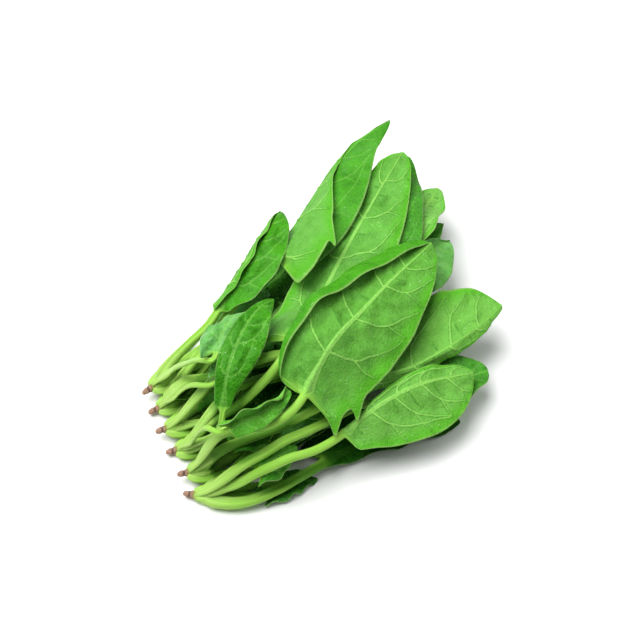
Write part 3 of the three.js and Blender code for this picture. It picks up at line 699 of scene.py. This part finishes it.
EDGE_EVEN = 0.35
EVEN_FROM = 0.3  # shares of the half's width
EVEN_OVER = 0.25
EVENED = 11  # the height of a stalk is evened over this many millimetres
PAINTED_SHADE_FROM = 4  # this far under what covers it a leaf begins to be darkened by painted shade
PAINTED_SHADE_OVER = 16
SAME_PLACE = 1e-7  # metres


def along_stalk(shape, stalk):
    """The fine line of a stalk: its centres, the ways it points, how far each is, and its thickness."""
    crown, axis = crown_axis(PLANTS[shape["plant"] - 1])
    nub = crown + axis * NUB
    out = stalk.at([SHEATH_T])[0]
    out_way = stalk.way([SHEATH_T])[0]
    ease = np.linalg.norm(out - nub) * SHEATH_EASE
    sheath = Bend(nub, nub + axis * ease, out - out_way * ease, out)
    u = np.linspace(0, 1, SHEATH_ROWS)[:-1]
    rows = max(6, int((1 - SHEATH_T) * stalk.length() / STALK_FINE))
    t = np.linspace(SHEATH_T, 1, rows)[:-1]
    centre = np.concatenate([sheath.at(u), stalk.at(t)])
    way = np.concatenate([sheath.way(u), stalk.way(t)])
    far = np.concatenate([u * SHEATH_T, t]) * stalk.length()
    sheath_radius = lerp(NUB_RADIUS, STALK_RADIUS * 1.02, smooth(u * 1.1))
    radius = np.concatenate([sheath_radius, lerp(STALK_RADIUS, FOOT_RADIUS, t)])
    return centre, way, far, radius


def mark(*parts):
    """Three numbers for each point of a face."""
    return np.stack(np.broadcast_arrays(*parts), axis=-1)


def fine_leaf(shape, laid, random):
    """Both faces of the finer leaf, laid as the plain one was, and the marks of each point."""
    stalk, blade = line_of(shape)
    length = blade.length()
    centre, way, far, radius = along_stalk(shape, stalk)
    facet = shape["fine"] * ROUGHLY
    u = np.linspace(0.002, 1, int(length / facet))
    q = lerp(u, (1 - np.cos(np.pi * u)) / 2, 0.45)
    centre = np.concatenate([centre, blade.at(q)])
    way = np.concatenate([way, blade.way(q)])
    far = np.concatenate([far, stalk.length() + q * length])
    share = np.concatenate([0 * radius, q])[:, None]
    rib = lerp(FOOT_RADIUS, TIP_RADIUS, q ** shape["slim"]) * lerp(1, shape["rib"], smooth(q / RIB_FULL))
    radius = shape["stout"] * np.concatenate([radius * shape["stem"], rib])[:, None]
    free = smooth(share / FREE_BY)

    # The lines of the blade: its left half from the margin in, the midrib, and its right half out again.
    places = {}
    for side in ("left", "right"):
        widest = float(spread(shape[side], np.linspace(0.01, 1, 60)).max())
        places[side] = np.linspace(0, 1, max(8, int(widest / facet)))
    ribs = np.linspace(1, -1, RIB_LINES + 2)[1:-1]
    sizes = [len(places["left"]), len(ribs), len(places["right"])]
    lines = blade_lines(shape, share, radius, places["left"], ribs, places["right"], ease=True)
    keel = np.concatenate([0 * places["left"], (1 - ribs**2) ** 1.5, 0 * places["right"]])
    groove = GROOVE_DEEP * np.exp(-((np.cos(around(len(keel))) / GROOVE_WIDE) ** 2))

    # Where each point is on the flat blade, and the veins there.
    along = share * length - lines["back"]
    out = lines["wide"]
    vein, gap = np.ones(out.shape), np.zeros(out.shape)
    for side, part in (("left", slice(0, sizes[0])), ("right", slice(sizes[0] + sizes[1], None))):
        pieces = vein_paths(shape[side], length, random)
        vein[:, part], gap[:, part] = vein_field(pieces, along[:, part], out[:, part])
        midrib = np.exp(-((out[:, part] / (MIDRIB_HALF[0] + MIDRIB_HALF[1] * radius)) ** 2))
        vein[:, part] = np.maximum(vein[:, part], midrib)
        gap[:, part] = np.minimum(gap[:, part], out[:, part])
    signed = lerp(np.cos(around(len(keel))) * 4, out * np.repeat([1, 0, -1], sizes), free)
    margin = np.concatenate([places["left"][::-1], 0 * ribs, places["right"]])

    # The relief: domes between the veins, a ruffled margin and creases, all evener towards a hem.
    upper = -1 if shape["turned"] else 1
    dome = shape["pucker"] * (1 - np.exp(-((gap / DOME) ** 2))) * (1 - 0.5 * margin**4)
    ruffle = shape["frill"] * margin**3 * crumples(along, 0.3 * signed, RUFFLE_LONG, random)
    crease = shape["crumple"] * np.minimum(1, out / CREASE_FREE)
    crease = crease * crumples(along, signed, CREASE_LONG, random)
    even = {side: HEM_EVEN if any(shape[side]["hem"]) else EDGE_EVEN for side in places}
    calm = 1 - np.repeat([even["left"], 0, even["right"]], sizes) * smooth((margin - EVEN_FROM) / EVEN_OVER)
    shift = upper * (dome * calm) + ruffle * calm + crease * calm
    raised = {upper: shift - upper * VEIN_SUNK * vein, -upper: shift - upper * VEIN_PROUD * vein * (1 - keel)}
    broad = 1 + SHEATH_BROAD * np.exp(-((far[:, None] / SHEATH_FADE) ** 2))
    top, base = skin(shape, centre, way, free, radius, lines, groove, keel, BLADE_THICK, raised, broad)

    # It is lifted as the plain leaf was, with its stalk's height evened.
    reach = np.arange(0, laid["far"][-1], 1.0)
    stiff = np.interp(reach, laid["far"], laid["lifts"])
    stiff = np.convolve(np.pad(stiff, EVENED // 2, mode="edge"), np.ones(EVENED) / EVENED, mode="valid")
    lifts = np.where(far < reach[-1], np.interp(far, reach, stiff), height_at(laid["lift"], centre))
    raise_leaf(top, base, laid["lift"], centre, lifts, free)

    like = mark(vein, 1 - free, margin)
    return top, base, [(mark(far[:, None], signed, float(face == upper)), like) for face in (1, -1)]


def closed_skin(name, finish, top, base, faces, tone=(0, 0, 0)):
    """Wraps a grid round both faces, shuts its ends, and marks each point with what its material reads."""
    def ring(upper, lower):
        return np.concatenate([upper, lower[:, ::-1], upper[:, :1]], axis=1)

    points = ring(top, base)
    places = (points - MIDDLE) * MM
    places[..., 2] = np.maximum(places[..., 2], 0)
    rows, columns = places.shape[:2]
    sheet = bmesh.new()
    bmesh.ops.create_grid(sheet, x_segments=columns - 1, y_segments=rows - 1, size=1)
    mesh = bpy.data.meshes.new(name)
    sheet.to_mesh(mesh)
    mesh.vertices.foreach_set("co", places.reshape(-1))
    marks = [ring(faces[0][index], faces[1][index]) for index in (0, 1)]
    marks.append(np.broadcast_to(np.array(tone, float), places.shape))
    for title, values in zip(("blade", "vein", "tone"), marks):
        mesh.attributes.new(title, "FLOAT_VECTOR", "POINT").data.foreach_set("vector", values.reshape(-1))
    # Painted shade: each point is darkened by how far it lies under the top of the bunch.
    painted_shade = smooth((height_at(cover, points) - points[..., 2] - PAINTED_SHADE_FROM) / PAINTED_SHADE_OVER)
    mesh.attributes.new("painted_shade", "FLOAT", "POINT").data.foreach_set("value", painted_shade.reshape(-1))
    sheet.clear()
    sheet.from_mesh(mesh)
    bmesh.ops.remove_doubles(sheet, verts=sheet.verts, dist=SAME_PLACE)
    bmesh.ops.holes_fill(sheet, edges=sheet.edges, sides=0)
    bmesh.ops.recalc_face_normals(sheet, faces=sheet.faces)
    for face in sheet.faces:
        face.smooth = True
    sheet.to_mesh(mesh)
    sheet.free()
    mesh.materials.append(finish)
    piece = bpy.data.objects.new(name, mesh)
    bpy.context.scene.collection.objects.link(piece)
    return piece


# ---- The leaves: what they look like ----
# Fresh leaf is deep green and slightly glossy above, paler and duller below, with pale veins and stalks. It
# is mottled by its cells and quilted between its veins, and each leaf has a tone of its own, partly painted
# light: its dark is partly painted shade, and its waxy blue partly painted sheen. Painted shade also darkens
# the leaves deep in the bunch and beside the veins, and painted highlights pale the rims and a few water
# drops. Most colours come in pairs, one for the underside and one for the upper side.

UNDERSIDE = ((0.075, 0.26, 0.024), (0.115, 0.35, 0.045))  # from patch to patch
UPPER_SIDE = ((0.025, 0.17, 0.003), (0.055, 0.28, 0.008))
LIVELY = ((0.13, 0.47, 0.05), (0.09, 0.42, 0.015))
DULL = ((0.05, 0.21, 0.014), (0.015, 0.13, 0.002))
QUILTED = ((0.15, 0.43, 0.065), (0.07, 0.34, 0.015))
STALK = ((0.22, 0.47, 0.05), (0.31, 0.57, 0.09))  # from patch to patch


class Wire:
    """A socket in a material, with arithmetic."""

    def __init__(self, finish, socket):
        self.finish, self.socket = finish, socket

    def sum_of(self, operation, *others):
        return self.finish.node("ShaderNodeMath", dict(enumerate(others)), operation=operation)

    def __add__(self, other):
        return self.sum_of("ADD", self, other)

    def __sub__(self, other):
        return self.sum_of("SUBTRACT", self, other)

    def __rsub__(self, other):
        return self.sum_of("SUBTRACT", other, self)

    def __mul__(self, other):
        return self.sum_of("MULTIPLY", self, other)

    __radd__ = __add__
    __rmul__ = __mul__

    def within(self, low, high):
        """0 below low, 1 above high, and smooth between."""
        inputs = {0: self, 1: low, 2: high}
        return self.finish.node("ShaderNodeMapRange", inputs, interpolation_type="SMOOTHSTEP")


class Finish:
    """A material and the nodes in it."""

    def __init__(self, name):
        self.material = bpy.data.materials.new(name)
        self.material.use_nodes = True
        self.tree = self.material.node_tree
        self.shader = self.tree.nodes["Principled BSDF"]

    def node(self, kind, inputs=None, output=0, **settings):
        """Adds a node, and gives one of its outputs."""
        node = self.tree.nodes.new(kind)
        for key, value in settings.items():
            setattr(node, key, value)
        for key, value in (inputs or {}).items():
            self.join(node.inputs[key], value)
        return Wire(self, node.outputs[output])

    def join(self, socket, value):
        if isinstance(value, Wire):
            self.tree.links.new(value.socket, socket)
        elif isinstance(value, tuple) and len(value) == 3 and socket.type == "RGBA":
            socket.default_value = (*value, 1)
        else:
            socket.default_value = value

    def mix(self, share, first, second, way="MIX"):
        """One colour into another."""
        inputs = {0: share, 6: first, 7: second}
        return self.node("ShaderNodeMix", inputs, output=2, data_type="RGBA", blend_type=way)

    def numbers(self, title):
        """The three numbers that a mesh keeps at each point under a title."""
        parts = self.tree.nodes.new("ShaderNodeSeparateXYZ")
        self.join(parts.inputs[0], self.node("ShaderNodeAttribute", output=1, attribute_name=title))
        return [Wire(self, part) for part in parts.outputs]

    def noise(self, vector, scale, detail, rough, distort=0.0):
        inputs = dict(Vector=vector, Scale=scale, Detail=detail, Roughness=rough, Distortion=distort)
        return self.node("ShaderNodeTexNoise", inputs)

    def bump(self, height, distance, strength, normal=None):
        inputs = dict(Height=height, Distance=distance, Strength=strength)
        if normal:
            inputs["Normal"] = normal
        return self.node("ShaderNodeBump", inputs)

    def dress(self, **sockets):
        """Joins what is given to the shader's sockets of those names, and gives the material."""
        for key, value in sockets.items():
            self.join(self.shader.inputs[key.replace("_", " ").title().replace("Ior", "IOR")], value)
        return self.material


def leaf_finish():
    """The green of the leaves, their stalks and the crowns."""
    finish = Finish("spinach leaf")
    along, out, upper = finish.numbers("blade")
    vein, stalk, margin = finish.numbers("vein")
    yellow, dark_and_shade, wax_and_sheen = finish.numbers("tone")
    painted_shade = finish.node("ShaderNodeAttribute", output=2, attribute_name="painted_shade")
    here = finish.node("ShaderNodeTexCoord", output=3)
    patches = finish.noise(here, scale=60.0, detail=3.0, rough=0.55)
    mottle = finish.noise(here, scale=420.0, detail=3.0, rough=0.6)
    quilt = finish.noise(here, scale=210.0, detail=4.0, rough=0.65, distort=0.4)
    # Painted highlight: small pale spots for the glint of water drops.
    drop_glints = finish.node("ShaderNodeTexVoronoi", dict(Vector=here, Scale=330.0))
    # Painted shade: a dark band on the underside beside each raised vein, where its relief would be shaded.
    painted_vein_shade = vein.within(0.03, 0.12) * vein.within(0.45, 0.2) * (1 - upper) * mottle.within(0.3, 0.55)
    lengthwise = finish.node("ShaderNodeCombineXYZ", {0: along * 0.04, 1: out * 1.6, 2: upper})
    streaks = finish.noise(lengthwise, scale=1.0, detail=2.0, rough=0.6)
    spots = dict(Vector=here, Scale=420.0)
    cells = finish.node("ShaderNodeTexVoronoi", spots, feature="DISTANCE_TO_EDGE")

    # A stalk has streaks along it, and is palest near its crown.
    pale = finish.mix(patches, *STALK)
    pale = finish.mix(streaks.within(0.4, 0.75) * 0.6, pale, (0.16, 0.42, 0.03))
    pale = finish.mix(along.within(34.0, 4.0) * 0.45, pale, (0.42, 0.58, 0.17))

    # The plain green of both faces, and what lies over it: how much of it, and its colour.
    green = finish.mix(upper, finish.mix(patches, *UNDERSIDE), finish.mix(patches, *UPPER_SIDE))
    for share, colour in (
        # Livelier patches and margins, and then the tone of the leaf: yellow; waxy, partly painted sheen; or
        # dark, partly painted shade.
        (margin * margin * 0.25 + patches.within(0.5, 0.75) * 0.35, finish.mix(upper, *LIVELY)),
        (yellow * 0.8, (0.27, 0.62, 0.11)),
        (wax_and_sheen * 0.75, (0.20, 0.50, 0.16)),
        (dark_and_shade * 0.8, (0.008, 0.075, 0.002)),
        # Mottles, dull patches and quilting.
        (mottle.within(0.55, 0.8) * 0.35, (0.02, 0.12, 0.004)),
        (patches.within(0.5, 0.3) * 0.45, finish.mix(upper, *DULL)),
        (quilt.within(0.35, 0.7) * 0.5, finish.mix(upper, *QUILTED)),
        # The margin of the underside; a pale rim, a painted highlight on the thin edge of the leaf; and a few
        # pale spots, the painted glint of small water drops.
        (margin.within(0.6, 0.92) * 0.75 * (1 - upper), (0.075, 0.36, 0.008)),
        (margin.within(0.94, 1.0) * 0.4, (0.38, 0.46, 0.20)),
        (drop_glints.within(0.16, 0.08) * patches.within(0.5, 0.6) * 0.5, (0.50, 0.72, 0.40)),
        # Painted shade on the flanks beside the raised veins of the underside, the veins, and the stalk.
        (painted_vein_shade * 0.5, (0.025, 0.15, 0.008)),
        (vein.within(0.15, 0.6) * (0.82 - upper * 0.5), (0.24, 0.54, 0.10)),
        (stalk, pale),
    ):
        green = finish.mix(share, green, colour)

    # Painted shade: all of it is darker the deeper it lies under the top of the bunch. It is browner at the
    # root end of a crown. The net of tiny veins shows most on dark leaves.
    green = finish.mix(painted_shade * 0.78, green, (0.14, 0.32, 0.07), "MULTIPLY")
    green = finish.mix(along.within(-13.0, -17.0) * 0.8, green, (0.20, 0.11, 0.05))
    net = cells.within(0.08, 0.3) * (1 - stalk) * (0.14 + upper * dark_and_shade * 0.6)
    green = finish.mix(net, green, (0.012, 0.13, 0.003))
    rough = 0.5 - upper * 0.12 - stalk * 0.12 + mottle * 0.12
    grain = finish.bump(cells.within(0.0, 0.25) * (1 - stalk), distance=0.0003, strength=0.6)
    grain = finish.bump(mottle, distance=0.00012, strength=0.5, normal=grain)
    grain = finish.bump(quilt * (1 - stalk), distance=0.0005, strength=0.6, normal=grain)
    grain = finish.bump(streaks * stalk, distance=0.0003, strength=0.5, normal=grain)
    return finish.dress(
        base_color=green, roughness=rough, normal=grain, subsurface_weight=0.25,
        subsurface_radius=(0.4, 1.0, 0.15), subsurface_scale=0.0006, specular_ior_level=0.1,
    )


green_leaf = leaf_finish()
ways_laid = [lay(shape) for shape in leaves]
# The top of the bunch, from which the painted shade is measured.
cover = nearby(np.maximum(heap, np.max(near_crowns, axis=0)), 2, np.nanmean)
LEAF_SEED = 40
for number, (shape, laid) in enumerate(zip(leaves, ways_laid)):
    skins = fine_leaf(shape, laid, np.random.RandomState(LEAF_SEED + number))
    piece = closed_skin(f"leaf_{shape['name']}", green_leaf, *skins, shape["tone"])
    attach(piece, "root")
    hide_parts(f"plant_{shape['plant']}")

# ---- The crowns ----
# Where the stalks of a plant meet is a short round crown, ribbed by the edges of their sheaths. It is pale,
# and browner towards the root.

CROWN_SHARES = (0.0, 0.12, 0.25, 0.5, 0.75, 1.0, 1.25)
CROWN_RADII = (2.0, 2.6, 3.3, 4.0, 4.2, 3.4, 1.4)
CROWN_GRID = (26, 24)  # sections along it, and lines over each of its two faces
CROWN_RIBS = 5  # round it
RIB_DEEP = 0.07  # as a share of the radius
RIB_TWIST = 3
BEFORE_STALKS = 17  # the crown is coloured as a stalk is this far before it begins: brown to the root


def round_piece(name, finish, centre, way, radius, lumps, places, flat=1):
    """A round body as a closed skin. lumps: one for each face; places: what its material reads."""
    left = unit(np.cross(UP, way))[:, None]
    up = np.cross(way[:, None], left)
    turn = around(lumps[0].shape[1])
    skins = []
    for face, lump in zip((1, -1), lumps):
        size = (radius[:, None] * (1 + lump))[..., None]
        rise = face * flat * up * np.sin(turn)[:, None]
        skins.append(centre[:, None] + size * (left * np.cos(turn)[:, None] + rise))
    still = np.zeros(lumps[0].shape)
    faces = [(mark(*(still + part for part in places)), mark(still, 1, still))] * 2
    return closed_skin(name, finish, *skins, faces)


for number, plant in enumerate(PLANTS, 1):
    origin, axis = crown_axis(plant)
    share = np.linspace(0, CROWN_SHARES[-1], CROWN_GRID[0])
    centre = origin + axis * share[:, None] * CROWN_LENGTH
    turn = around(CROWN_GRID[1])
    twist = number + share[:, None] * RIB_TWIST
    ribs = [RIB_DEEP * np.sin(face * turn[None] * CROWN_RIBS + twist) for face in (1, -1)]
    radius = np.interp(share, CROWN_SHARES, CROWN_RADII)
    far = share[:, None] * CROWN_LENGTH - BEFORE_STALKS
    way = np.broadcast_to(axis, centre.shape)
    piece = round_piece(f"crown_{number}", green_leaf, centre, way, radius, ribs, (far, 0, 0))
    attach(piece, "root")
    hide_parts(f"plant_{number}")

# ---- The outer stalks ----
# The outermost leaves of each plant have no blades left. Their flat stalks stay at the crown and fill the
# space to the next plant, low on the table.

OUTER_WIDE = (1.3, 3.4, 3.7, 3.3, 3.0, 2.6, 2.2, 0.4)  # half widths, from the crown to the end
OUTER_FLAT = 0.62
OUTER_LONG = (24, 38)
OUTER_SWAY = 3  # degrees
OUTER_BULGE = (14, 9)  # how far its bulge, and where it heads off, are ahead of the root end and aside
OUTER_OFF = (20, 10)
OUTER_HIGH = 3.2
OUTER_LOW = 3.0
OUTER_GRID = (34, 18)
OUTER_LUMP = 0.05
OUTER_SEED = 900
# For each: the plant, the side of it from -1 to 1, the heading, and how much longer it is than OUTER_LONG.
OUTER_STALKS = [
    (number, hand, PLANTS[number - 1]["fan"] + 7 * hand, -6 if number == 1 else 26)
    for number in range(1, 6) for hand in (-1, 0, 1)
]
OUTER_STALKS += [(6, 1, -22, 12), (6, 0.5, -29, 16), (6, 0, -36, 6)]

for index, (number, hand, fan, reach) in enumerate(OUTER_STALKS, 1):
    random = np.random.RandomState(OUTER_SEED + index)
    origin, axis = crown_axis(PLANTS[number - 1])
    left = np.cross(UP, axis)
    way = direction(math.radians(fan + random.uniform(-OUTER_SWAY, OUTER_SWAY)))
    bulge = origin + axis * OUTER_BULGE[0] + left * hand * OUTER_BULGE[1]
    bulge[2] = OUTER_HIGH + abs(hand)
    off = origin + axis * OUTER_OFF[0] + left * hand * OUTER_OFF[1]
    end = off + way * (reach + random.uniform(*OUTER_LONG))
    end[2] = OUTER_LOW
    line = Bend(origin + axis * NUB, origin + axis * 5 + left * hand * 5, bulge, end)
    share = np.linspace(0, 1, OUTER_GRID[0])
    centre = line.at(share)
    radius = np.interp(share, np.linspace(0, 1, len(OUTER_WIDE)) ** 1.3, OUTER_WIDE)
    turn = around(OUTER_GRID[1])
    lumps = [OUTER_LUMP * np.sin(turn[None] * 6 + face + 9 * share[:, None]) for face in (1, -1)]
    places = (share[:, None] * line.length(), 4 * np.cos(turn), 0)
    name = f"outer_stalk_{index}"
    piece = round_piece(name, green_leaf, centre, line.way(share), radius, lumps, places, OUTER_FLAT)
    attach(piece, "root")
    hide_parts(f"plant_{number}")

# ---- The root stubs ----
# The taproot is cut off close under the crown. What is left is a lumpy brown stub with a dark scar round it
# and a paler cut end.

ROOT_RADIUS = 2.4
ROOT_LENGTH = 6
ROOT_DROOP = 1
ROOT_SHARES = (-0.12, 0.1, 0.3, 0.5, 0.75, 0.93, 1)  # from inside the crown to the cut
ROOT_SIZES = (0.8, 0.95, 0.66, 0.82, 0.66, 0.45, 0.06)
ROOT_GRID = (28, 20)
ROOT_LUMP = 0.08
SCAR_AT = 0.28
SCAR_HALF = 0.09
CUT_FROM = 0.9
CUT_OVER = 0.06
ROOT_SEED = 500
ROOT_SKIN = ((0.15, 0.085, 0.055), (0.46, 0.27, 0.19))
ROOT_SCAR = (0.045, 0.025, 0.012)
ROOT_CUT = (0.55, 0.36, 0.22)


def root_finish():
    """The pink-brown skin of a taproot, its scar and its cut end."""
    finish = Finish("root")
    here = finish.node("ShaderNodeTexCoord", output=3)
    _, ring, cut = finish.numbers("blade")
    patches = finish.noise(here, scale=500.0, detail=3.0, rough=0.6)
    brown = finish.mix(patches, *ROOT_SKIN)
    brown = finish.mix(ring, brown, ROOT_SCAR)
    brown = finish.mix(cut, brown, ROOT_CUT)
    grain = finish.bump(patches, distance=0.0004, strength=0.8)
    return finish.dress(base_color=brown, roughness=0.8, normal=grain)


brown_root = root_finish()
for number, plant in enumerate(PLANTS, 1):
    random = np.random.RandomState(ROOT_SEED + number)
    origin, axis = crown_axis(plant)
    share = np.linspace(ROOT_SHARES[0], 1, ROOT_GRID[0])
    centre = origin - axis * share[:, None] * ROOT_LENGTH
    centre[:, 2] -= ROOT_DROOP * np.maximum(share, 0) ** 2
    radius = ROOT_RADIUS * np.interp(share, ROOT_SHARES, ROOT_SIZES)
    down, turn = np.meshgrid(share * 8, around(ROOT_GRID[1]) * 3, indexing="ij")
    lumps = [ROOT_LUMP * crumples(down, face * turn, 4, random) for face in (1, -1)]
    way = np.broadcast_to(-axis, centre.shape)
    scar = np.exp(-(((share - SCAR_AT) / SCAR_HALF) ** 2))[:, None]
    cut = smooth((share - CUT_FROM) / CUT_OVER)[:, None]
    piece = round_piece(f"stub_{number}", brown_root, centre, way, radius, lumps, (0, scar, cut))
    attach(piece, "root")
    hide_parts(f"root_{number}")

# ---- The table and the light ----
# A plain white table under soft light from above, with a weak light from the front. From here on lengths
# are metres.

bpy.ops.mesh.primitive_plane_add(size=6)
table = bpy.context.object
table.name = "table"
white = Finish("white table")
table.data.materials.append(white.dress(base_color=(0.9, 0.9, 0.9), roughness=0.9))


def lamp(name, place, size, power):
    """A soft square light that faces the middle of the bunch."""
    light = bpy.data.lights.new(name, "AREA")
    light.size, light.energy = size, power
    lamp_object = bpy.data.objects.new(name, light)
    lamp_object.location = place
    lamp_object.rotation_euler = (-Vector(place)).to_track_quat("-Z", "Y").to_euler()
    bpy.context.scene.collection.objects.link(lamp_object)


lamp("overhead", (-0.3, 0.5, 1.6), size=1.3, power=50)
lamp("front", (0.9, -0.6, 1.2), size=1.2, power=6)

world = bpy.data.worlds.new("studio")
world.use_nodes = True
world.node_tree.nodes["Background"].inputs[0].default_value = (1, 1, 1, 1)
world.node_tree.nodes["Background"].inputs[1].default_value = 0.2
bpy.context.scene.world = world
bpy.context.scene.view_settings.view_transform = "Standard"

# ---- The camera ----
# It looks down on the bunch from the side where the fan opens, with a long lens.

LENS = 85
SENSOR = 36
VIEW_WIDE = 0.384  # across the view at the bunch
heading, climb = math.radians(45), math.radians(-58)
gaze = Vector(direction(heading, climb))
target = Vector((0.005, 0.0214, 0.022))
camera = bpy.data.objects.new("camera", bpy.data.cameras.new("camera"))
camera.data.lens, camera.data.sensor_width = LENS, SENSOR
camera.location = target - gaze * (VIEW_WIDE * LENS / SENSOR)
camera.rotation_euler = gaze.to_track_quat("-Z", "Y").to_euler()
bpy.context.scene.collection.objects.link(camera)
bpy.context.scene.camera = camera
